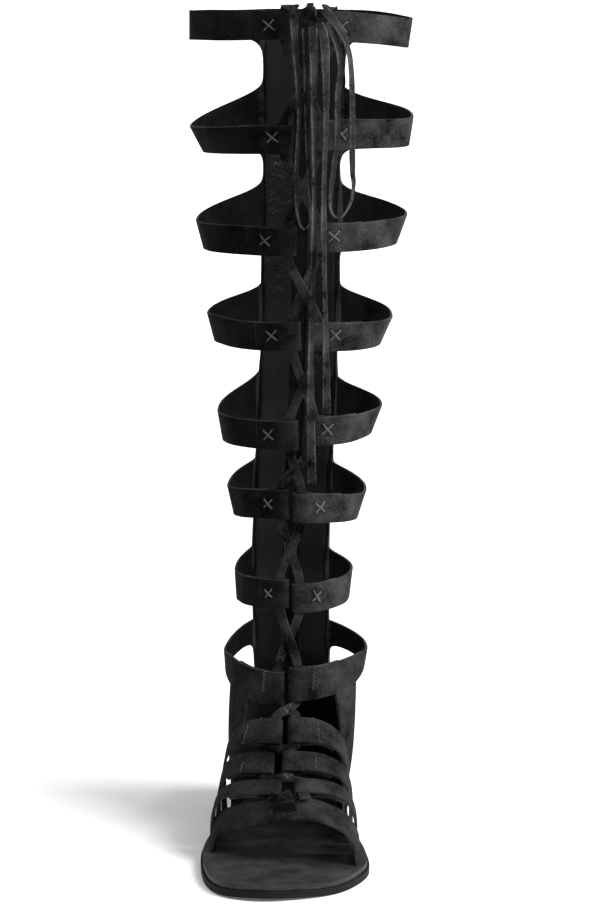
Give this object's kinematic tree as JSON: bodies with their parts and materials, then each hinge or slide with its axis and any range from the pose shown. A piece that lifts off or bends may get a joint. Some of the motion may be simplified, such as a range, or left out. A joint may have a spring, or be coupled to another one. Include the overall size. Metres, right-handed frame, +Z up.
{
  "type": "gladiator sandal",
  "caption": "Knee-high open-toe gladiator sandal in black suede, right foot, with looped straps, a flat suede lace tied in a bow and a thin flat sole.",
  "frame": {"origin": "on the floor under the middle of the sandal, free lace left out", "axes": "+Z up, toe towards -Y, the wearer's inner side towards +X"},
  "size_m": [0.1306, 0.2544, 0.4774],
  "materials": {
    "suede": "matt suede outside, smooth lining inside",
    "footbed": "smooth, satin",
    "sole": "matt",
    "lace": "matt suede"
  },
  "bodies": {
    "root": {"upper": "suede", "outsole": "sole", "insole": "footbed", "lace_crossings": "lace", "lace_knot": "lace", "bow_loop_outer": "lace", "bow_loop_inner": "lace", "lace_end_outer": "lace", "lace_end_inner": "lace"}
  },
  "joints": []
}
